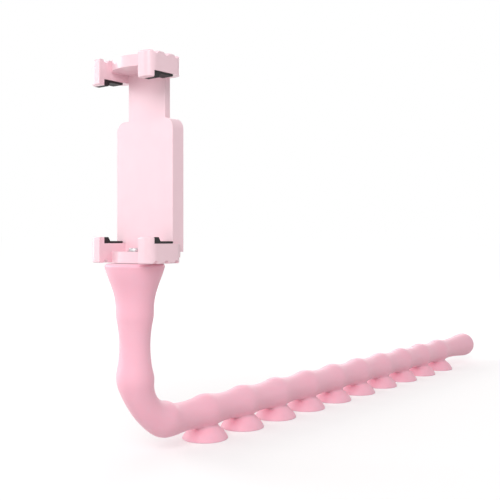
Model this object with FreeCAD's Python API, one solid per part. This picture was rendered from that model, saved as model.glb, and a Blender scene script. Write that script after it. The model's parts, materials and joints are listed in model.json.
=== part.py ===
import FreeCAD, Part
import math
import os

from FreeCAD import Vector

# Flexible phone holder. Millimetres, +Z up, the arm's run along +X, the jaws open towards -X.
# It is drawn with the neck axis at X = 0 and moved at the end so that the origin is under its middle.

# Arm sleeve
ring_pitch = 28.9
crest_radius = 8.4
waist_radius = 6.85
crest_share = 0.2
elbow_steps = 8
run_height = 13.1
elbow_radius = 25.6
first_cup_reach = 46.75
cup_count = 10
tail_reach = 46.6
tail_radius = 8.6
neck_rings = 3

# Flared head of the sleeve
flare_top = 86.0
flare_radius = 13.4
flare_middle_radius = 11.0
flare_middle_drop = 8.0
flare_throat_radius = 8.9
flare_throat_drop = 15.0
flare_wall = 2.2
flare_rim_round = 0.5

# Suction cups
cup_radius = 11.2
cup_rim_edge = 0.4
cup_rim_width = 1.0
cup_dome = 7.3
cup_hollow = 3.6

# Core rod and its tail cap
rod_radius = 4.0
rod_fit = 0.05
cap_wall = 1.2
cap_grip = 6.5
tail_end_wall = 9.0

# Neck socket in the flare, and its fixings
socket_wall = 1.4
socket_length = 34.0
socket_flare_length = 22.0
socket_proud = 0.1
socket_fit = 0.05
rod_grip = 14.0
lock_pin_radius = 1.0
lock_pin_fit = 0.05
screw_radius = 1.5
screw_fit = 0.1
screw_head_radius = 2.8
screw_head_height = 1.1
screw_tip_gap = 0.5
washer_radius = 3.3
washer_thickness = 0.3
washer_gap = 0.1
nut_flats = 5.5
nut_height = 2.4
nut_fit = 0.05
swivel_gap = 0.2

# Jaws
clamp_width = 38.6
ear_gap = 24.2
jaw_front = 9.8
jaw_corner = 4.0
jaw_edge_round = 0.7
jaw_plate = 5.0
jaw_height = 8.6
lip_height = 2.8
lip_thickness = 2.8
tab_front = 7.0
tab_bulge = 4.2
notch_count = 3
notch_spacing = 6.2
notch_radius = 1.5
notch_depth = 1.4
phone_span = 70.9

# Rubber pads
pad_thickness = 1.0
pad_block_length = 4.0
pad_block_slope = 1.0
pad_block_height = 2.8
pad_length = 11.6
pad_inset = 0.4

# Guide housing, tongue and cover
housing_width = 35.2
housing_front = 5.6
housing_wall = 1.4
housing_rise = 55.1
housing_corner = 5.0
cavity_depth = 3.4
cavity_floor = 2.2
tongue_width = 23.0
tongue_length = 55.8
slide_gap = 0.2
close_travel = 15.0
open_travel = 19.0
lug_reach = 1.7
lug_height = 4.0
stop_gap = 0.3
cover_thickness = 2.0
cover_drop = 4.9
cover_screw_radius = 1.1
cover_screw_fit = 0.05
cover_screw_length = 3.8
cover_screw_head_radius = 2.0
cover_screw_inset = 2.4
cover_screw_end = 6.0

# Springs and their pins
spring_spacing = 12.0
spring_radius = 1.25
spring_wire = 0.25
spring_turns = 8
spring_lead = 2.4
spring_slot = 3.8
spring_slot_head = 2.5
spring_pin_radius = 0.8
spring_pin_fit = 0.05
pin_seat_depth = 2.0
lower_pin_rise = 2.0
upper_pin_rise = 15.0

# Heights and lengths that follow
half_pitch = ring_pitch / 2
cup_reaches = [first_cup_reach + ring_pitch * i for i in range(cup_count)]
elbow_length = elbow_radius * math.pi / 2
run_lead = first_cup_reach - elbow_radius
elbow_top = run_height + elbow_radius
neck_crest_height = elbow_top + neck_rings * ring_pitch - run_lead - elbow_length
last_waist = cup_reaches[-1] + half_pitch
tail_crest = cup_reaches[-1] + tail_reach
tail_tip = tail_crest + tail_radius

socket_top = flare_top + socket_proud
socket_bottom = socket_top - socket_length
socket_radius = rod_radius + rod_fit + socket_wall
rod_top = socket_bottom + rod_grip
cap_end = tail_tip - tail_end_wall
rod_tail = cap_end - cap_wall
cap_radius = rod_radius + rod_fit + cap_wall
lock_pin_height = socket_bottom + rod_grip / 2

jaw_bottom = socket_top + swivel_gap
plate_top = jaw_bottom + jaw_plate
jaw_floor = jaw_bottom + jaw_height
jaw_roof = jaw_floor + 2 * pad_thickness + phone_span
jaw_middle = (jaw_floor + jaw_roof) / 2
upper_plate = 2 * jaw_middle - plate_top
lip_inside = lip_thickness - jaw_front

cavity_front = housing_front + housing_wall
cavity_back = cavity_front + cavity_depth
cavity_middle = (cavity_front + cavity_back) / 2
cavity_bottom = plate_top + cavity_floor
housing_top = jaw_floor + housing_rise
jaw_back = cavity_back
tongue_bottom = jaw_roof - tongue_length
lower_pin_height = cavity_bottom + lower_pin_rise
upper_pin_height = tongue_bottom + upper_pin_rise


def block(x, y, z):
    """Box between two X, two Y and two Z values."""
    return Part.makeBox(x[1] - x[0], y[1] - y[0], z[1] - z[0], Vector(x[0], y[0], z[0]))


def bar_across(radius, length, x, z):
    """Round bar along Y, centred on the middle plane."""
    return Part.makeCylinder(radius, length, Vector(x, -length / 2, z), Vector(0, 1, 0))


def spun(edges, axis):
    """Solid made by turning a closed outline about an axis through the drawing origin."""
    return Part.Face(Part.Wire(edges)).revolve(Vector(0, 0, 0), axis, 360)


def corners(*points):
    """Straight edges through a row of points."""
    return [Part.makeLine(a, b) for a, b in zip(points, points[1:])]


def smooth(points, start, end):
    """Smooth curve through points, leaving and arriving along two directions."""
    curve = Part.BSplineCurve()
    curve.interpolate(Points=points, InitialTangent=start, FinalTangent=end)
    return curve.toShape()


def swell_radius(past_crest, length, low, high):
    """Radius at a distance from a crest: a bulging arc that runs into a hollow one, down to a waist."""
    rise = high - low
    arcs = (length ** 2 + rise ** 2) / (2 * rise)
    bulge = crest_share * arcs
    hollow = arcs - bulge
    if past_crest < crest_share * length:
        return high - bulge + math.sqrt(bulge ** 2 - past_crest ** 2)
    return low + hollow - math.sqrt(hollow ** 2 - (length - past_crest) ** 2)


def ring_radius(offset):
    """Sleeve radius at a distance along the arm from any crest."""
    past_crest = abs(offset) % ring_pitch
    past_crest = min(past_crest, ring_pitch - past_crest)
    return swell_radius(past_crest, half_pitch, waist_radius, crest_radius)


def tail_swell(x):
    """Sleeve radius between the last waist and the tail's crest."""
    return swell_radius(tail_crest - x, tail_crest - last_waist, waist_radius, tail_radius)


def outline_arc(radius_at, first, last):
    """Arc of an outline about the X axis, between two places along it."""
    points = [Vector(x, 0, radius_at(x)) for x in (first, (first + last) / 2, last)]
    return Part.Arc(*points).toShape()


def spherical_cap(radius, height, bottom):
    """Cap of a sphere, flat below, about the vertical axis."""
    ball = (radius ** 2 + height ** 2) / (2 * height)
    rise = height - ball
    foot = Vector(0, 0, bottom)
    edge = Vector(radius, 0, bottom)
    apex = Vector(0, 0, bottom + height)
    lean = math.atan2(-rise, radius)
    half_way = (lean + math.pi / 2) / 2
    middle = Vector(ball * math.cos(half_way), 0, bottom + rise + ball * math.sin(half_way))
    return spun(corners(apex, foot, edge) + [Part.Arc(edge, middle, apex).toShape()], Vector(0, 0, 1))


def suction_cup(reach):
    """Dome of one cup, standing on its rim, and the hollow under it."""
    rim = Part.makeCylinder(cup_radius, cup_rim_edge)
    dome = rim.fuse(spherical_cap(cup_radius, cup_dome, cup_rim_edge))
    hollow = spherical_cap(cup_radius - cup_rim_width, cup_hollow, 0)
    place = Vector(reach, 0, 0)
    return dome.translated(place), hollow.translated(place)


def ringed_bar(rings):
    """Straight stretch of the sleeve, waist to waist, about the X axis with its first crest at zero."""
    turn = crest_share * half_pitch
    end = ring_pitch * rings - half_pitch
    stops = [-half_pitch]
    for i in range(rings):
        stops += [ring_pitch * i - turn, ring_pitch * i + turn]
    stops.append(end)
    arcs = [outline_arc(ring_radius, a, b) for a, b in zip(stops, stops[1:])]
    foot = corners(
        Vector(end, 0, waist_radius),
        Vector(end, 0, 0),
        Vector(-half_pitch, 0, 0),
        Vector(-half_pitch, 0, waist_radius),
    )
    return spun(arcs + foot, Vector(1, 0, 0))


def run_tail():
    """Closed end of the sleeve: it swells from the last waist to the tail's crest and ends in a half ball."""
    join = tail_crest - crest_share * (tail_crest - last_waist)
    swell = [outline_arc(tail_swell, last_waist, join), outline_arc(tail_swell, join, tail_crest)]
    crest = Vector(tail_crest, 0, tail_radius)
    shoulder = Vector(1, 0, 1) * (tail_radius / math.sqrt(2)) + Vector(tail_crest, 0, 0)
    tip = Vector(tail_tip, 0, 0)
    nose = Part.Arc(crest, shoulder, tip).toShape()
    foot = corners(tip, Vector(last_waist, 0, 0), Vector(last_waist, 0, waist_radius))
    tail = spun(swell + [nose] + foot, Vector(1, 0, 0))
    return tail.translated(Vector(0, 0, run_height))


def arm_section(back):
    """Round section of the sleeve, a distance back from the first cup's crest along the arm."""
    turned = max(0, min(back - run_lead, elbow_length)) / elbow_radius
    section = Part.makeCircle(ring_radius(back), Vector(0, 0, 0), Vector(1, 0, 0))
    section.rotate(Vector(0, 0, 0), Vector(0, 1, 0), math.degrees(turned))
    if back <= run_lead:
        place = Vector(first_cup_reach - back, 0, run_height)
    else:
        rise = max(0, back - run_lead - elbow_length)
        sweep = Vector(-math.sin(turned), 0, -math.cos(turned)) * elbow_radius
        place = Vector(elbow_radius, 0, elbow_top + rise) + sweep
    return Part.Wire(section.translated(place))


def elbow():
    """Bent stretch of the sleeve, from the first waist of the run to the lowest waist of the neck."""
    count = (neck_rings - 1) * elbow_steps
    stations = [half_pitch + ring_pitch * i / elbow_steps for i in range(count + 1)]
    return Part.makeLoft([arm_section(back) for back in stations], True, False)


def flare_outline(grow):
    """Radius points of the flare from its rim down to its throat, grown or shrunk by a wall."""
    return [
        Vector(flare_radius + grow, 0, flare_top - flare_rim_round),
        Vector(flare_middle_radius + grow, 0, flare_top - flare_middle_drop),
        Vector(flare_throat_radius + grow, 0, flare_top - flare_throat_drop),
    ]


def neck():
    """Upright end of the sleeve: half a ring, then the flare with its rounded rim."""
    down = Vector(0, 0, -1)
    crest = Vector(crest_radius, 0, neck_crest_height)
    flare_points = flare_outline(0) + [crest]
    flare = smooth(flare_points, flare_points[1] - flare_points[0], down)
    across = (-crest_radius, crest_radius)
    half = ringed_bar(1).common(block((0, half_pitch), across, across))
    half.rotate(Vector(0, 0, 0), Vector(0, 1, 0), 90)
    rim_inside = flare_radius - flare_rim_round
    slack = flare_rim_round * (1 - math.sqrt(0.5))
    rim = Part.Arc(
        Vector(rim_inside, 0, flare_top),
        Vector(flare_radius - slack, 0, flare_top - slack),
        flare_points[0],
    )
    foot = corners(
        crest,
        Vector(0, 0, neck_crest_height),
        Vector(0, 0, flare_top),
        Vector(rim_inside, 0, flare_top),
    )
    bell = spun(foot + [rim.toShape(), flare], Vector(0, 0, 1))
    return bell.fuse(half.translated(Vector(0, 0, neck_crest_height)))


def rod_along_arm(radius, top, tail):
    """Round bar that follows the arm's centreline from a height in the neck to a reach along the run."""
    knee = Vector(elbow_radius, 0, elbow_top)
    middle = knee - Vector(1, 0, 1) * (elbow_radius / math.sqrt(2))
    path = Part.Wire([
        Part.makeLine(Vector(0, 0, top), Vector(0, 0, elbow_top)),
        Part.Arc(Vector(0, 0, elbow_top), middle, Vector(elbow_radius, 0, run_height)).toShape(),
        Part.makeLine(Vector(elbow_radius, 0, run_height), Vector(tail, 0, run_height)),
    ])
    end = Part.Wire(Part.makeCircle(radius, Vector(0, 0, top), Vector(0, 0, -1)))
    return path.makePipeShell([end], True, False)


def socket_envelope(grow):
    """Outside of the neck socket, or with a clearance the pocket that holds it: tapers down to a tube."""
    tube = socket_radius + grow
    tapers = flare_outline(grow - flare_wall)
    bottom = socket_bottom - grow
    outline = tapers + [
        Vector(tube, 0, socket_top - socket_flare_length),
        Vector(tube, 0, bottom),
        Vector(0, 0, bottom),
        Vector(0, 0, socket_top),
        Vector(tapers[0].x, 0, socket_top),
        tapers[0],
    ]
    return spun(corners(*outline), Vector(0, 0, 1))


def silicone_sleeve():
    """The whole arm as moulded: neck, elbow, ringed run with its cups, and tail, bored for the core."""
    run = ringed_bar(cup_count).translated(Vector(first_cup_reach, 0, run_height))
    cups = [suction_cup(reach) for reach in cup_reaches]
    bore = rod_along_arm(rod_radius + rod_fit, socket_bottom, rod_tail)
    cap_seat = Part.makeCylinder(
        cap_radius + rod_fit,
        cap_end - rod_tail + cap_grip + rod_fit,
        Vector(rod_tail - cap_grip, 0, run_height),
        Vector(1, 0, 0),
    )
    core = bore.multiFuse([cap_seat, socket_envelope(socket_fit)])
    stretches = [neck(), elbow(), run_tail()] + [dome for dome, hollow in cups]
    body = run.cut(core).multiFuse([stretch.cut(core) for stretch in stretches])
    return body.cut([hollow for dome, hollow in cups])


def core_rod():
    """Soft rod that keeps the bend, cross drilled at its top for the lock pin."""
    rod = rod_along_arm(rod_radius, rod_top, rod_tail)
    return rod.cut(bar_across(lock_pin_radius + lock_pin_fit, 4 * rod_radius, 0, lock_pin_height))


def core_cap():
    """Cap over the rod's tail end."""
    along = Vector(1, 0, 0)
    mouth = Vector(rod_tail - cap_grip, 0, run_height)
    outside = Part.makeCylinder(cap_radius, cap_grip + cap_wall, mouth, along)
    return outside.cut(Part.makeCylinder(rod_radius + rod_fit, cap_grip, mouth, along))


def hexagon(flats, height, bottom):
    """Hexagonal prism about the neck axis."""
    reach = flats / math.sqrt(3)
    points = [
        Vector(reach * math.cos(i * math.pi / 3), reach * math.sin(i * math.pi / 3), bottom)
        for i in range(7)
    ]
    return Part.Face(Part.makePolygon(points)).extrude(Vector(0, 0, height))


def neck_socket():
    """Moulded plug: bored for the rod from below, with a nut pocket and a screw hole above it."""
    up = Vector(0, 0, 1)
    rod_bore = Part.makeCylinder(rod_radius + rod_fit, rod_grip, Vector(0, 0, socket_bottom), up)
    nut_pocket = hexagon(nut_flats + 2 * nut_fit, nut_height + nut_fit, rod_top)
    screw_way = socket_top - rod_top
    screw_hole = Part.makeCylinder(screw_radius + screw_fit, screw_way, Vector(0, 0, rod_top), up)
    pin_hole = bar_across(lock_pin_radius + lock_pin_fit, 4 * socket_radius, 0, lock_pin_height)
    return socket_envelope(0).cut([rod_bore, nut_pocket, screw_hole, pin_hole])


def rod_lock_pin():
    return bar_across(lock_pin_radius, 2 * (socket_radius - socket_fit), 0, lock_pin_height)


def swivel_nut():
    """Nut trapped above the rod, with its thread cleared to the screw's size."""
    hole = Part.makeCylinder(screw_radius + screw_fit / 2, nut_height, Vector(0, 0, rod_top))
    return hexagon(nut_flats, nut_height, rod_top).cut(hole)


def swivel_washer():
    bottom = plate_top + washer_gap
    washer = Part.makeCylinder(washer_radius, washer_thickness, Vector(0, 0, bottom))
    return washer.cut(Part.makeCylinder(screw_radius + screw_fit, washer_thickness, Vector(0, 0, bottom)))


def swivel_screw():
    """Low-headed screw with a cross recess, from the washer down through the nut."""
    seat = plate_top + washer_gap + washer_thickness
    tip = rod_top + screw_tip_gap
    shank = Part.makeCylinder(screw_radius, seat - tip, Vector(0, 0, tip))
    head = Part.makeCylinder(screw_head_radius, screw_head_height, Vector(0, 0, seat))
    crown = [e for e in head.Edges if e.BoundBox.ZMin > seat + screw_head_height / 2]
    head = head.makeFillet(screw_head_height / 2, crown)
    reach = screw_head_radius / 2
    slot = screw_head_radius / 8
    heights = (seat + screw_head_height / 2, seat + screw_head_height)
    cross = [
        block((-reach, reach), (-slot, slot), heights),
        block((-slot, slot), (-reach, reach), heights),
    ]
    return shank.fuse(head).cut(cross)


def tab_space(heights):
    """Space in front of the bridge between the ears, whose edge bows forward like a thumb tab."""
    half = ear_gap / 2
    radius = (half ** 2 + tab_bulge ** 2) / (2 * tab_bulge)
    front = block((-2 * jaw_front, tab_bulge - tab_front), (-half, half), heights)
    bow = Part.makeCylinder(radius, heights[1] - heights[0], Vector(radius - tab_front, 0, heights[0]))
    return front.cut(bow)


def jaw():
    """Lower jaw: two hooked ears joined by a bridge that is set back between them."""
    half = clamp_width / 2
    lip_top = jaw_floor + lip_height
    shape = block((-jaw_front, jaw_back), (-half, half), (jaw_bottom, lip_top))
    upright = [e for e in shape.Edges if e.BoundBox.ZLength > jaw_height]
    shape = shape.makeFillet(jaw_corner, upright)
    rims = [e for e in shape.Edges if e.BoundBox.ZLength < jaw_edge_round]
    shape = shape.makeFillet(jaw_edge_round, rims)

    past = 2 * half
    above = lip_top + lip_height
    phone = block((lip_inside, jaw_back + lip_thickness), (-past, past), (jaw_floor, above))
    between = block((-2 * jaw_front, 2 * jaw_back), (-ear_gap / 2, ear_gap / 2), (plate_top, above))
    cuts = [phone, between, tab_space((jaw_bottom - jaw_plate, above))]
    first = jaw_back - jaw_corner - notch_spacing * (notch_count - 1)
    for i in range(notch_count):
        place = first + i * notch_spacing
        groove = bar_across(notch_radius, past, place, jaw_bottom - notch_radius + notch_depth)
        cuts.append(groove.cut(block((-past, past), (-ear_gap / 2, ear_gap / 2), (0, jaw_roof))))
    return shape.cut(cuts)


def upper_of(shape):
    """The same shape in the upper jaw, mirrored about the middle of the phone space."""
    return shape.mirror(Vector(0, 0, jaw_middle), Vector(0, 0, 1))


def housing_plate(front, back, bottom):
    """Upright plate with rounded upper corners."""
    half = housing_width / 2
    plate = block((front, back), (-half, half), (bottom, housing_top))
    shoulders = [
        e for e in plate.Edges if e.BoundBox.XLength > (back - front) / 2 and e.BoundBox.ZMin > jaw_middle
    ]
    return plate.makeFillet(housing_corner, shoulders)


def cover_screw_places():
    """Y and Z of the four cover screws."""
    side = housing_width / 2 - cover_screw_inset
    heights = (jaw_bottom + cover_drop + cover_screw_end, housing_top - cover_screw_end)
    return [(y, z) for y in (-side, side) for z in heights]


def clamp_body():
    """Lower jaw and guide housing in one: a trough open behind and above, grooved for the tongue's lugs."""
    half = tongue_width / 2 + slide_gap
    shape = jaw().fuse(housing_plate(housing_front, cavity_back, jaw_bottom + jaw_plate / 2))
    cavity = block((cavity_front, 2 * cavity_back), (-half, half), (cavity_bottom, 2 * housing_top))
    lug_half = half + lug_reach
    low = tongue_bottom - close_travel - stop_gap
    high = tongue_bottom + lug_height + open_travel + stop_gap
    groove = block((cavity_front, 2 * cavity_back), (-lug_half, lug_half), (low, high))

    seat = spring_pin_radius + spring_pin_fit
    seat_length = 2 * (half + pin_seat_depth)
    pin_seat = bar_across(seat, seat_length, cavity_middle, lower_pin_height)
    pin_way = block(
        (cavity_middle, 2 * cavity_back),
        (-seat_length / 2, seat_length / 2),
        (lower_pin_height - seat, lower_pin_height + seat),
    )
    neck_hole = Part.makeCylinder(screw_radius + screw_fit, jaw_plate, Vector(0, 0, jaw_bottom))
    cuts = [cavity, groove, pin_seat, pin_way, neck_hole]
    for y, z in cover_screw_places():
        start = Vector(cavity_back - cover_screw_length, y, z)
        bore = cover_screw_radius + cover_screw_fit
        cuts.append(Part.makeCylinder(bore, cover_screw_length, start, Vector(1, 0, 0)))
    return shape.cut(cuts)


def countersunk(grow):
    """One cover screw along X with its flat head at the cover's face, or with a clearance its hole."""
    along = Vector(1, 0, 0)
    face = cavity_back + cover_thickness
    tip = cavity_back - cover_screw_length + cover_screw_fit
    taper = cover_screw_head_radius - cover_screw_radius
    shank = Part.makeCylinder(cover_screw_radius + grow, face - tip, Vector(tip, 0, 0), along)
    head = Part.makeCone(
        cover_screw_radius + grow,
        cover_screw_head_radius + grow,
        taper,
        Vector(face - taper, 0, 0),
        along,
    )
    return shank.fuse(head)


def back_cover():
    plate = housing_plate(cavity_back, cavity_back + cover_thickness, jaw_bottom + cover_drop)
    holes = [countersunk(cover_screw_fit).translated(Vector(0, y, z)) for y, z in cover_screw_places()]
    return plate.cut(holes)


def cover_screws():
    """The four screws, each with a single slot in its head."""
    face = cavity_back + cover_thickness
    slot_half = cover_screw_radius / 4
    slot_depth = (cover_screw_head_radius - cover_screw_radius) / 2
    reach = cover_screw_head_radius
    slot = block((face - slot_depth, face), (-reach, reach), (-slot_half, slot_half))
    screw = countersunk(0).cut(slot)
    return Part.makeCompound([screw.translated(Vector(0, y, z)) for y, z in cover_screw_places()])


def upper_jaw():
    """Upper jaw and its tongue, slotted for the springs, with lugs at its foot that stop it pulling out."""
    half = tongue_width / 2
    front = cavity_front + slide_gap
    back = cavity_back - slide_gap
    root = block((front, back), (-ear_gap / 2, ear_gap / 2), (jaw_roof, upper_plate))
    tongue = block((front, back), (-half, half), (tongue_bottom, jaw_roof))
    lug_half = half + lug_reach
    lugs = block((front, back), (-lug_half, lug_half), (tongue_bottom, tongue_bottom + lug_height))
    shape = upper_of(jaw()).fuse([root, tongue, lugs])
    slot_top = upper_pin_height + spring_slot_head
    cuts = [bar_across(spring_pin_radius + spring_pin_fit, tongue_width, cavity_middle, upper_pin_height)]
    for side in (-1, 1):
        y = side * spring_spacing / 2
        slot = (y - spring_slot / 2, y + spring_slot / 2)
        cuts.append(block((0, 2 * cavity_back), slot, (0, slot_top)))
    return shape.cut(cuts)


def lower_spring_pin():
    length = 2 * (tongue_width / 2 + slide_gap + pin_seat_depth - spring_pin_fit)
    return bar_across(spring_pin_radius, length, cavity_middle, lower_pin_height)


def upper_spring_pin():
    return bar_across(spring_pin_radius, tongue_width - 2 * slide_gap, cavity_middle, upper_pin_height)


def spring_hook(pin_height, coil_end):
    """Open eye round a pin, with the straight lead that joins it to the coil."""
    toward_pin = 1 if pin_height > coil_end else -1
    eye = [
        Vector(spring_radius * math.cos(a), 0, pin_height + toward_pin * spring_radius * math.sin(a))
        for a in (0, math.pi * 0.75, math.pi * 1.5)
    ]
    start = Vector(spring_radius, 0, coil_end)
    path = Part.Wire([Part.makeLine(start, eye[0]), Part.Arc(*eye).toShape()])
    return path.makePipeShell([wire_section(start, eye[0] - start)], True, False)


def wire_section(centre, along):
    """Four-sided section of the spring wire, square to its run."""
    side = along.cross(Vector(1, 0, 0)).normalize()
    points = [centre + FreeCAD.Rotation(along, 90 * i).multVec(side) * spring_wire for i in range(4)]
    return Part.makePolygon(points + points[:1])


def spring(side):
    """Extension spring: an open coil with an eye at each end."""
    low = lower_pin_height + spring_lead
    high = upper_pin_height - spring_lead
    pitch = (high - low) / spring_turns
    helix = Part.makeHelix(pitch, high - low, spring_radius)
    start = Vector(spring_radius, 0, 0)
    along = Vector(0, 2 * math.pi * spring_radius, pitch)
    coil = helix.makePipeShell([wire_section(start, along)], True, True)
    coil.translate(Vector(0, 0, low))
    whole = coil.fuse([spring_hook(lower_pin_height, low), spring_hook(upper_pin_height, high)])
    return whole.translated(Vector(cavity_middle, side * spring_spacing / 2, 0))


def pad(side):
    """L-shaped pad of one lower ear: a thin base on the jaw's floor and a block behind the lip."""
    block_top = jaw_floor + pad_block_height
    base_top = jaw_floor + pad_thickness
    step = lip_inside + pad_block_length
    end = lip_inside + pad_length
    outline = [
        (lip_inside, jaw_floor),
        (lip_inside, block_top),
        (step - pad_block_slope, block_top),
        (step, base_top),
        (end, base_top),
        (end, jaw_floor),
    ]
    inner = ear_gap / 2 + pad_inset
    outer = clamp_width / 2 - pad_inset
    first = inner if side > 0 else -outer
    points = [Vector(x, first, z) for x, z in outline]
    return Part.Face(Part.makePolygon(points + points[:1])).extrude(Vector(0, outer - inner, 0))


nodes = {
    "silicone_sleeve": silicone_sleeve(),
    "core_rod": core_rod(),
    "core_cap": core_cap(),
    "neck_socket": neck_socket(),
    "rod_lock_pin": rod_lock_pin(),
    "swivel_nut": swivel_nut(),
    "swivel_screw": swivel_screw(),
    "swivel_washer": swivel_washer(),
    "clamp_body": clamp_body(),
    "back_cover": back_cover(),
    "cover_screws": cover_screws(),
    "lower_pad_left": pad(1),
    "lower_pad_right": pad(-1),
    "lower_spring_pin": lower_spring_pin(),
    "spring_left": spring(1),
    "spring_right": spring(-1),
    "upper_jaw": upper_jaw(),
    "upper_pad_left": upper_of(pad(1)),
    "upper_pad_right": upper_of(pad(-1)),
    "upper_spring_pin": upper_spring_pin(),
}

to_middle = Vector((max(flare_radius, jaw_front) - tail_tip) / 2, 0, 0)
os.makedirs("parts", exist_ok=True)
for name, shape in nodes.items():
    shape.translated(to_middle).exportStep("parts/" + name + ".step")
    solids = len(shape.Solids)
    print(name, "solids", solids, "volume", round(shape.Volume, 1), "valid", shape.isValid())
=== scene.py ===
import bmesh
import bpy
import json
import math
from mathutils import Matrix, Vector


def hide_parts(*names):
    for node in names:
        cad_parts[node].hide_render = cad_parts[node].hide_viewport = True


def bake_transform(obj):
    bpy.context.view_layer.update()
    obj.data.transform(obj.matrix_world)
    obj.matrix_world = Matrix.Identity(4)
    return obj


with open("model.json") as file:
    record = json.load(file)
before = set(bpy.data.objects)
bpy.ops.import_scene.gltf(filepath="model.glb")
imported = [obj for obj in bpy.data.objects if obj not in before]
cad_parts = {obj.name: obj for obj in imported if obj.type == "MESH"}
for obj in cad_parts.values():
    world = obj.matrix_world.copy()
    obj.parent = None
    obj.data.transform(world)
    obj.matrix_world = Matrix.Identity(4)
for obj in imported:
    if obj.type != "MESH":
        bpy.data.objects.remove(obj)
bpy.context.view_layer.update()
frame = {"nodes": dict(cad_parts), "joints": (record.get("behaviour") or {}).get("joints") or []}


# Core rod
# Soft aluminium rod that keeps whatever bend the arm is given, drawn bright and cross drilled at its top.
# A merged copy of its solid, with its loose triangles joined up, is drawn in its place.
MM = 0.001
joints = {joint["name"]: joint for joint in frame["joints"]}
neck = Vector(joints["clamp_swivel"]["pos_m"])
run_height = 13.1 * MM
elbow_radius = 25.6 * MM
merge_distance = 0.005 * MM


def piece(name, mesh):
    """Links a finished bmesh to the scene as one smooth object at the origin."""
    data = bpy.data.meshes.new(name)
    for face in mesh.faces:
        face.smooth = True
    mesh.to_mesh(data)
    mesh.free()
    made = bpy.data.objects.new(name, data)
    bpy.context.scene.collection.objects.link(made)
    return made


def merged_copy(name, node):
    """A copy of a solid with its loose triangles joined up."""
    mesh = bmesh.new()
    mesh.from_mesh(frame["nodes"][node].data)
    bmesh.ops.remove_doubles(mesh, verts=mesh.verts, dist=merge_distance)
    return piece(name, mesh)


def linear(code):
    """An sRGB hex colour as linear red, green, blue and alpha."""
    parts = [int(code[i:i + 2], 16) / 255 for i in (1, 3, 5)]
    return [part / 12.92 if part <= 0.04045 else ((part + 0.055) / 1.055) ** 2.4 for part in parts] + [1]


def put(tree, kind, inputs=None, **settings):
    """Adds a shader node: settings are its own, and an input takes a value or another node's socket."""
    made = tree.nodes.new(kind)
    for name, value in settings.items():
        setattr(made, name, value)
    for name, value in (inputs or {}).items():
        if isinstance(value, bpy.types.NodeSocket):
            tree.links.new(value, made.inputs[name])
        else:
            made.inputs[name].default_value = value
    return made


def blank(name):
    """A new material with an empty node tree."""
    made = bpy.data.materials.new(name)
    made.use_nodes = True
    made.node_tree.nodes.clear()
    return made


def coat(thing, material):
    """Gives a piece or a solid one material all over."""
    thing.data.materials.clear()
    thing.data.materials.append(material)


# Drawn aluminium: a bright metal whose polish is a little uneven, so its highlights break up. Its grain is
# drawn coarser than the real one, to show.
drawn_aluminium = blank("drawn_aluminium")
tree = drawn_aluminium.node_tree
place = put(tree, "ShaderNodeTexCoord")
polish_grain = 0.8 * MM
polish = put(tree, "ShaderNodeTexNoise", {"Vector": place.outputs["Object"], "Scale": 1 / polish_grain})
gloss = put(tree, "ShaderNodeMapRange", {"Value": polish.outputs["Fac"], "To Min": 0.24, "To Max": 0.42})
metal = put(tree, "ShaderNodeBsdfPrincipled", {
    "Base Color": linear("#C6C8CA"), "Metallic": 1.0, "Roughness": gloss.outputs["Result"],
})
put(tree, "ShaderNodeOutputMaterial", {"Surface": metal.outputs["BSDF"]})

core = merged_copy("bent_core_rod", "core_rod")
coat(core, drawn_aluminium)
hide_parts("core_rod")
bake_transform(core)


# Core cap and neck socket
# Plain nylon mouldings in the clamp's colour. The cap keeps the rod from piercing the tail. The socket plugs
# the flared head, grips the rod and carries the clamp's screw. Only its top shows, under the clamp.

# Nylon: satin, with a faint mottle in its pink, so that it reads as plastic beside the silicone. The mottle
# is drawn coarser than the real one, to show. A colour mix takes its colours at 6 and 7 and gives one at 2.
moulded_nylon = blank("moulded_nylon")
tree = moulded_nylon.node_tree
place = put(tree, "ShaderNodeTexCoord")
mould_grain = 0.5 * MM
grain = put(tree, "ShaderNodeTexNoise", {"Vector": place.outputs["Object"], "Scale": 1 / mould_grain})
tint = put(tree, "ShaderNodeMix", {
    0: grain.outputs["Fac"], 6: linear("#E9C4CE"), 7: linear("#EFCED7"),
}, data_type="RGBA")
plastic = put(tree, "ShaderNodeBsdfPrincipled", {"Base Color": tint.outputs[2], "Roughness": 0.55})
put(tree, "ShaderNodeOutputMaterial", {"Surface": plastic.outputs["BSDF"]})
for node in ("core_cap", "neck_socket"):
    coat(frame["nodes"][node], moulded_nylon)


# Silicone sleeve
# One soft moulding: flared head, ringed tube, elbow, a row of suction cups under the run, and a rounded tail.
# It is pulled over the rod and the socket, so it is hollow where they sit.
ring_pitch = 28.9 * MM
crest_radius = 8.4 * MM
waist_radius = 6.85 * MM
crest_share = 0.2
first_cup_reach = 46.75 * MM
cup_count = 10
tail_reach = 46.6 * MM
tail_radius = 8.6 * MM
neck_rings = 3
flare_top = 86.0 * MM
flare_radius = 13.4 * MM
flare_rim_round = 1.3 * MM
flare_start = 2.75
flare_belly = 2.35
rim_steps = 3
sides = 32
steps_per_ring = 24
nose_steps = 7
flare_steps = 12
half_pitch = ring_pitch / 2
run_lead = first_cup_reach - elbow_radius
elbow_length = elbow_radius * math.pi / 2


def arm_place(back):
    """Frame of a ring on the arm's centreline, a distance back from the first cup towards the head."""
    turned = min(max((back - run_lead) / elbow_radius, 0), math.pi / 2)
    lead = max(run_lead - back, 0)
    rise = max(back - run_lead - elbow_length, 0)
    x = neck.x + elbow_radius * (1 - math.sin(turned)) + lead
    z = run_height + elbow_radius * (1 - math.cos(turned)) + rise
    return Matrix.Translation((x, 0, z)) @ Matrix.Rotation(math.pi / 2 + turned, 4, "Y")


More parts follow.
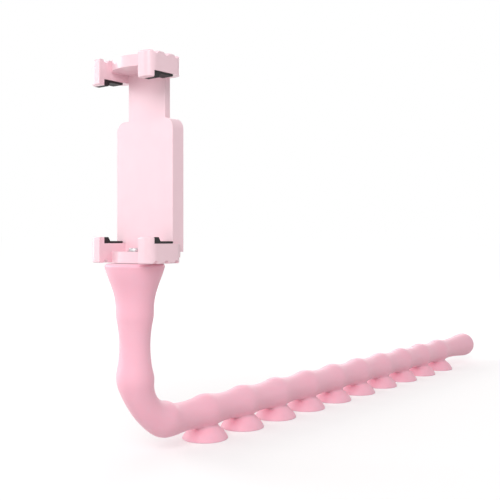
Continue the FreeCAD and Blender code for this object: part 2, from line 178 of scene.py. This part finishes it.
def swell(past_crest, length, low, high):
    """Radius at a distance from a crest: a bulging arc that runs into a hollow one, down to a waist."""
    rise = high - low
    arcs = (length ** 2 + rise ** 2) / (2 * rise)
    bulge = crest_share * arcs
    hollow = arcs - bulge
    if past_crest < crest_share * length:
        return high - bulge + math.sqrt(bulge ** 2 - past_crest ** 2)
    return low + hollow - math.sqrt(hollow ** 2 - (length - past_crest) ** 2)


def ring_radius(offset):
    """Sleeve radius at a distance along the arm from any crest."""
    past_crest = abs(offset) % ring_pitch
    return swell(min(past_crest, ring_pitch - past_crest), half_pitch, waist_radius, crest_radius)


tail_crest = -ring_pitch * (cup_count - 1) - tail_reach
last_waist = -ring_pitch * (cup_count - 1) - half_pitch
neck_crest = neck_rings * ring_pitch
step = ring_pitch / steps_per_ring
outline = []
for i in range(1, nose_steps):
    turn = math.pi / 2 * i / nose_steps
    outline.append((tail_crest - tail_radius * math.cos(turn), tail_radius * math.sin(turn)))
tail_steps = round((last_waist - tail_crest) / step)
for i in range(tail_steps):
    past_crest = (last_waist - tail_crest) * i / tail_steps
    radius = swell(past_crest, last_waist - tail_crest, waist_radius, tail_radius)
    outline.append((tail_crest + past_crest, radius))
for i in range(round((neck_crest - last_waist) / step)):
    outline.append((last_waist + i * step, ring_radius(last_waist + i * step)))

# Flare: it leaves the neck's crest slowly, bellies out and ends almost upright under a rounded rim.
top_back = run_lead + elbow_length + flare_top - run_height - elbow_radius
for i in range(flare_steps):
    share = i / flare_steps
    opening = share ** flare_start * (1 + flare_belly * (1 - share))
    back = neck_crest + (top_back - neck_crest) * share
    outline.append((back, crest_radius + (flare_radius - crest_radius) * opening))
for i in range(rim_steps + 1):
    turn = math.pi / 2 * i / rim_steps
    back = top_back - flare_rim_round * (1 - math.sin(turn))
    outline.append((back, flare_radius - flare_rim_round * (1 - math.cos(turn))))

# Inside: the socket's tapered pocket, the rod's bore round the elbow, and the cap's seat in the tail.
pocket_rim = 11.25 * MM
pocket_lip = 0.8 * MM
pocket_throat = 6.75 * MM
pocket_tube = 5.5 * MM
pocket_taper = 15.0 * MM
pocket_flare = 22.0 * MM
pocket_depth = 33.95 * MM
bore_radius = 4.05 * MM
cap_seat_radius = 5.3 * MM
cap_seat_length = 7.75 * MM
tail_wall = 9.0 * MM
bore_steps = 12
inside_start = len(outline)
outline += [
    (top_back, pocket_rim),
    (top_back - pocket_lip, pocket_rim),
    (top_back - pocket_taper, pocket_throat),
    (top_back - pocket_flare, pocket_tube),
    (top_back - pocket_depth, pocket_tube),
    (top_back - pocket_depth, bore_radius),
]
for i in range(bore_steps + 1):
    outline.append((run_lead + elbow_length * (1 - i / bore_steps), bore_radius))
seat_end = tail_crest - tail_radius + tail_wall
outline += [
    (seat_end + cap_seat_length, bore_radius),
    (seat_end + cap_seat_length, cap_seat_radius),
    (seat_end, cap_seat_radius),
]


def ring_frame(back, radius):
    """Frame that puts a unit circle round the arm."""
    return arm_place(back) @ Matrix.Diagonal((radius, radius, 1, 1))


def grow(mesh, loop, move):
    """Extrudes a loop of edges, moves the new loop by a matrix and gives it back."""
    made = bmesh.ops.extrude_edge_only(mesh, edges=loop)["geom"]
    verts = [item for item in made if isinstance(item, bmesh.types.BMVert)]
    bmesh.ops.transform(mesh, matrix=move, verts=verts)
    return [item for item in made if isinstance(item, bmesh.types.BMEdge) and item.is_boundary]


sleeve_mesh = bmesh.new()
crease = sleeve_mesh.edges.layers.float.new("crease_edge")
at = ring_frame(*outline[0])
bmesh.ops.create_circle(sleeve_mesh, cap_ends=True, segments=sides, radius=1, matrix=at)
loop = sleeve_mesh.edges[:]
for i, stop in enumerate(outline[1:], 1):
    to = ring_frame(*stop)
    loop = grow(sleeve_mesh, loop, to @ at.inverted())
    at = to
    if i >= inside_start:
        for edge in loop:
            edge[crease] = 1
bmesh.ops.contextual_create(sleeve_mesh, geom=loop)

# Suction cups: a patch of the tube's underside opens into an oval mouth, and the cup's dish grows out of it.
# The dome runs down to the rim at shares of the cup's radius, and the hollow runs up at shares of its own.
cup_radius = 11.2 * MM
cup_rim_edge = 0.4 * MM
cup_rim_width = 1.0 * MM
cup_dome = 7.3 * MM
cup_hollow = 3.6 * MM
rim_chamfer = cup_rim_edge / 4
dome_shares = (0.74, 0.83, 0.91, 0.965, 1.0)
hollow_shares = (1.0, 0.9, 0.7, 0.45, 0.2)
mouth_length = 6.9 * MM
mouth_turn = math.radians(40)
mouth_crease = 0.8
patch_steps = 6
patch_length = patch_steps * step
patch_turn = math.radians(45)


def cap_height(radius, rim, rise):
    """Height of a spherical cap over its rim's plane, at a radius."""
    ball = (rim ** 2 + rise ** 2) / (2 * rise)
    return rise - ball + math.sqrt(ball ** 2 - radius ** 2)


dish = []
for share in dome_shares:
    radius = cup_radius * share
    dish.append((radius, cup_rim_edge + cap_height(radius, cup_radius, cup_dome)))
dish += [(cup_radius, rim_chamfer), (cup_radius - rim_chamfer, 0)]
under_radius = cup_radius - cup_rim_width
for share in hollow_shares:
    dish.append((under_radius * share, cap_height(under_radius * share, under_radius, cup_hollow)))

for i in range(cup_count):
    foot = Vector((neck.x + first_cup_reach + ring_pitch * i, 0, 0))
    patch = []
    for face in sleeve_mesh.faces:
        spot = face.calc_center_median() - foot
        drop = run_height - spot.z
        outside = spot.y ** 2 + drop ** 2 > cap_seat_radius ** 2
        below = drop > 0 and abs(math.atan2(spot.y, drop)) < patch_turn
        if outside and below and abs(spot.x) < patch_length:
            patch.append(face)
    bmesh.ops.delete(sleeve_mesh, geom=patch, context="FACES")
    loop = [edge for edge in sleeve_mesh.edges if edge.is_boundary]
    for edge in loop:
        edge[crease] = mouth_crease
    for vert in {vert for edge in loop for vert in edge.verts}:
        along = (vert.co.x - foot.x) / patch_length
        across = math.atan2(vert.co.y, run_height - vert.co.z) / patch_turn
        reach = along * math.sqrt(1 - across ** 2 / 2) * mouth_length
        turn = across * math.sqrt(1 - along ** 2 / 2) * mouth_turn
        radius = ring_radius(reach)
        vert.co = foot + Vector((reach, radius * math.sin(turn), run_height - radius * math.cos(turn)))
    loop = grow(sleeve_mesh, loop, Matrix.Identity(4))
    radius, height = dish[0]
    for vert in {vert for edge in loop for vert in edge.verts}:
        along = (vert.co.x - foot.x) / mouth_length
        across = vert.co.y / (crest_radius * math.sin(mouth_turn))
        turn = math.atan2(across, along)
        vert.co = foot + Vector((radius * math.cos(turn), radius * math.sin(turn), height))
    for (radius, height), (next_radius, next_height) in zip(dish, dish[1:]):
        widening = next_radius / radius
        move = Matrix.Translation(foot + Vector((0, 0, next_height)))
        move = move @ Matrix.Diagonal((widening, widening, 1, 1))
        move = move @ Matrix.Translation(-foot - Vector((0, 0, height)))
        loop = grow(sleeve_mesh, loop, move)
    bmesh.ops.contextual_create(sleeve_mesh, geom=loop)
bmesh.ops.recalc_face_normals(sleeve_mesh, faces=sleeve_mesh.faces)

# Silicone: matte from the mould, a little translucent, so shadows in it stay warm and thin edges glow. The
# mould's grit is drawn coarser than the real one, to show.
silicone = blank("moulded_silicone")
tree = silicone.node_tree
place = put(tree, "ShaderNodeTexCoord")
bloom_size = 14 * MM
bloom = put(tree, "ShaderNodeTexNoise", {
    "Vector": place.outputs["Object"], "Scale": 1 / bloom_size, "Detail": 3.0,
})
tint = put(tree, "ShaderNodeMix", {
    0: bloom.outputs["Fac"], 6: linear("#F7B7C8"), 7: linear("#FABECE"),
}, data_type="RGBA")
mould_grit = 0.35 * MM
grit = put(tree, "ShaderNodeTexNoise", {
    "Vector": place.outputs["Object"], "Scale": 1 / mould_grit, "Detail": 2.0,
})
gloss = put(tree, "ShaderNodeMapRange", {"Value": grit.outputs["Fac"], "To Min": 0.42, "To Max": 0.58})
relief = put(tree, "ShaderNodeBump", {
    "Height": grit.outputs["Fac"], "Strength": 0.15, "Distance": 0.03 * MM,
})
rubber = put(tree, "ShaderNodeBsdfPrincipled", {
    "Base Color": tint.outputs[2],
    "Roughness": gloss.outputs["Result"],
    "IOR": 1.41,
    "Subsurface Weight": 0.25,
    "Subsurface Radius": (1.0, 0.45, 0.5),
    "Subsurface Scale": 2.0 * MM,
    "Sheen Weight": 0.15,
    "Sheen Roughness": 0.5,
    "Normal": relief.outputs["Normal"],
})
put(tree, "ShaderNodeOutputMaterial", {"Surface": rubber.outputs["BSDF"]})

sleeve = piece("ringed_sleeve", sleeve_mesh)
coat(sleeve, silicone)
rounding = sleeve.modifiers.new("rounding", "SUBSURF")
rounding.levels = 1
rounding.render_levels = 1
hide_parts("silicone_sleeve")
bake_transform(sleeve)


# Swivel fixings
# Small plated steel parts: the nut trapped in the socket, the pin that locks the rod, and the low-headed
# screw with its washer, on which the clamp turns. Only the screw's head shows, on the lower jaw's bridge.

# Zinc-plated steel: a bright metal with a fine frosted grain, so that its highlights stay soft. The grain is
# drawn coarser than the real one, to show.
zinc_steel = blank("zinc_plated_steel")
tree = zinc_steel.node_tree
place = put(tree, "ShaderNodeTexCoord")
plating_grain = 0.3 * MM
grain = put(tree, "ShaderNodeTexNoise", {"Vector": place.outputs["Object"], "Scale": 1 / plating_grain})
gloss = put(tree, "ShaderNodeMapRange", {"Value": grain.outputs["Fac"], "To Min": 0.2, "To Max": 0.34})
metal = put(tree, "ShaderNodeBsdfPrincipled", {
    "Base Color": linear("#D2D3D4"), "Metallic": 1.0, "Roughness": gloss.outputs["Result"],
})
put(tree, "ShaderNodeOutputMaterial", {"Surface": metal.outputs["BSDF"]})
for node in ("rod_lock_pin", "swivel_nut", "swivel_screw", "swivel_washer"):
    coat(frame["nodes"][node], zinc_steel)


# Clamp mouldings
# Pale pink ABS from a polished mould: the lower jaw with its guide housing, the cover that is screwed on
# behind it, and the upper jaw with its tongue. Every corner has the small round that a mould leaves.
mould_round = 0.2 * MM
flat_angle = math.radians(1)
edge_angle = math.radians(35)

# Polished ABS: tight, clear highlights over a pale pink that drifts a little with the flow in the mould.
abs_pink = blank("polished_abs")
tree = abs_pink.node_tree
place = put(tree, "ShaderNodeTexCoord")
flow_size = 9 * MM
flow = put(tree, "ShaderNodeTexNoise", {
    "Vector": place.outputs["Object"], "Scale": 1 / flow_size, "Detail": 2.0,
})
tint = put(tree, "ShaderNodeMix", {
    0: flow.outputs["Fac"], 6: linear("#F1CDD6"), 7: linear("#F4D4DC"),
}, data_type="RGBA")
plastic = put(tree, "ShaderNodeBsdfPrincipled", {
    "Base Color": tint.outputs[2], "Roughness": 0.29, "IOR": 1.53,
})
put(tree, "ShaderNodeOutputMaterial", {"Surface": plastic.outputs["BSDF"]})


def soften(node, radius):
    """Rounds a solid's edges, after joining its triangles into whole faces, so that only real edges round."""
    weld = node.modifiers.new("weld", "WELD")
    weld.merge_threshold = merge_distance
    whole = node.modifiers.new("whole_faces", "DECIMATE")
    whole.decimate_type = "DISSOLVE"
    whole.angle_limit = flat_angle
    edge = node.modifiers.new("mould_round", "BEVEL")
    edge.width = radius
    edge.segments = 2
    edge.limit_method = "ANGLE"
    edge.angle_limit = edge_angle
    node.modifiers.new("even_shading", "WEIGHTED_NORMAL")


for node in ("clamp_body", "upper_jaw", "back_cover"):
    coat(frame["nodes"][node], abs_pink)
    soften(frame["nodes"][node], mould_round)


# Pads
# Four small black rubber mouldings pressed into the jaws' ears. Each is an L: a thin base on which the edge
# of the thing held rests, and a block behind the ear's lip that keeps it from tipping out.
pad_round = 0.3 * MM

# Black rubber: dark and dull with a fine grain, so that the pads read as soft beside the polished jaws. The
# grain is drawn coarser than the real one, to show.
black_rubber = blank("black_rubber")
tree = black_rubber.node_tree
place = put(tree, "ShaderNodeTexCoord")
pad_grain = 0.4 * MM
grain = put(tree, "ShaderNodeTexNoise", {
    "Vector": place.outputs["Object"], "Scale": 1 / pad_grain, "Detail": 3.0,
})
gloss = put(tree, "ShaderNodeMapRange", {"Value": grain.outputs["Fac"], "To Min": 0.55, "To Max": 0.75})
relief = put(tree, "ShaderNodeBump", {
    "Height": grain.outputs["Fac"], "Strength": 0.3, "Distance": 0.05 * MM,
})
rubber = put(tree, "ShaderNodeBsdfPrincipled", {
    "Base Color": linear("#1B181A"),
    "Roughness": gloss.outputs["Result"],
    "Normal": relief.outputs["Normal"],
})
put(tree, "ShaderNodeOutputMaterial", {"Surface": rubber.outputs["BSDF"]})
for node in ("lower_pad_left", "lower_pad_right", "upper_pad_left", "upper_pad_right"):
    coat(frame["nodes"][node], black_rubber)
    soften(frame["nodes"][node], pad_round)


# Springs, pins and cover screws
# Two extension springs of steel wire hang between pins in the housing and draw the jaws together. Four
# countersunk screws hold the cover.
for node in ("lower_spring_pin", "upper_spring_pin", "cover_screws"):
    coat(frame["nodes"][node], zinc_steel)
for side in ("left", "right"):
    coil = merged_copy("stretching_spring_" + side, "spring_" + side)
    coat(coil, zinc_steel)
    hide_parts("spring_" + side)
    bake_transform(coil)


# Studio
# A pale floor under an even white sky, with a wide soft lamp in front on the left, one at the left side and a
# weak one behind. To the camera the floor is lifted to white, less so near the object, where the lamps are
# close and its shadow lies.
floor_mesh = bmesh.new()
floor_reach = 20
bmesh.ops.create_grid(floor_mesh, x_segments=1, y_segments=1, size=floor_reach)
floor = piece("studio_floor", floor_mesh)

# Floor paint: matte and pale grey to the lamps, white to the camera and in reflections.
floor_paint = blank("floor_paint")
tree = floor_paint.node_tree
seen = put(tree, "ShaderNodeLightPath")
place = put(tree, "ShaderNodeTexCoord")
matte = put(tree, "ShaderNodeBsdfDiffuse", {"Color": linear("#D2D0D0")})
reach = put(tree, "ShaderNodeVectorMath", {
    0: place.outputs["Object"], 1: (neck.x, 0, 0),
}, operation="DISTANCE")
fill = put(tree, "ShaderNodeMapRange", {"Value": reach.outputs["Value"], "To Min": 0.335, "To Max": 0.635})
lift = put(tree, "ShaderNodeMath", {
    0: seen.outputs["Is Camera Ray"], 1: seen.outputs["Is Glossy Ray"],
}, operation="MAXIMUM")
glow = put(tree, "ShaderNodeMath", {
    0: lift.outputs["Value"], 1: fill.outputs["Result"],
}, operation="MULTIPLY")
white = put(tree, "ShaderNodeEmission", {"Strength": glow.outputs["Value"]})
both = put(tree, "ShaderNodeAddShader", {0: matte.outputs["BSDF"], 1: white.outputs["Emission"]})
put(tree, "ShaderNodeOutputMaterial", {"Surface": both.outputs["Shader"]})
coat(floor, floor_paint)

# Sky: plain white to the camera and in reflections, and dimmer as a light, so the lamps shape the object.
sky_light = 0.58
world = bpy.data.worlds.new("studio_sky")
bpy.context.scene.world = world
world.use_nodes = True
tree = world.node_tree
tree.nodes.clear()
seen = put(tree, "ShaderNodeLightPath")
direct = put(tree, "ShaderNodeMath", {
    0: seen.outputs["Is Camera Ray"], 1: seen.outputs["Is Glossy Ray"],
}, operation="MAXIMUM")
direct = put(tree, "ShaderNodeMath", {
    0: direct.outputs["Value"], 1: seen.outputs["Is Transmission Ray"],
}, operation="MAXIMUM")
level = put(tree, "ShaderNodeMapRange", {
    "Value": direct.outputs["Value"], "To Min": sky_light, "To Max": 1.0,
})
sky = put(tree, "ShaderNodeBackground", {"Color": linear("#FFFFFF"), "Strength": level.outputs["Result"]})
put(tree, "ShaderNodeOutputWorld", {"Surface": sky.outputs["Background"]})

# Lamps: round softboxes that face the middle of the neck, with places and sizes in metres and power in watts.
for name, stand, size, power in (
    ("front_left_softbox", (-0.95, -0.42, 0.62), 0.7, 6.1),
    ("side_softbox", (-0.5, 1.1, 0.4), 0.8, 7.5),
    ("back_softbox", (0.95, 0.5, 0.45), 0.8, 2.8),
):
    lamp = bpy.data.lights.new(name, "AREA")
    lamp.shape = "DISK"
    lamp.size = size
    lamp.energy = power
    softbox = bpy.data.objects.new(name, lamp)
    aim = Vector(stand) - Vector((neck.x, 0, neck.z / 2))
    softbox.location = stand
    softbox.rotation_euler = aim.to_track_quat("Z", "Y").to_euler()
    bpy.context.scene.collection.objects.link(softbox)

# Camera: level, in front of the neck and to its left, and turned right towards the arm.
eye_left = 245.05 * MM
eye_front = 257.15 * MM
eye_height = 97.735 * MM
look_right = 0.7862
look_back = 0.6180
eye = Vector((neck.x - eye_left, -eye_front, eye_height))
heading = math.atan2(look_right, look_back)
lens = bpy.data.cameras.new("camera")
lens.sensor_width = 36
lens.lens = 57.43
lens.shift_y = -0.0261
camera = bpy.data.objects.new("camera", lens)
camera.location = eye
camera.rotation_euler = (math.pi / 2, 0, -heading)
bpy.context.scene.collection.objects.link(camera)
bpy.context.scene.camera = camera
bpy.context.scene.view_settings.view_transform = "Standard"
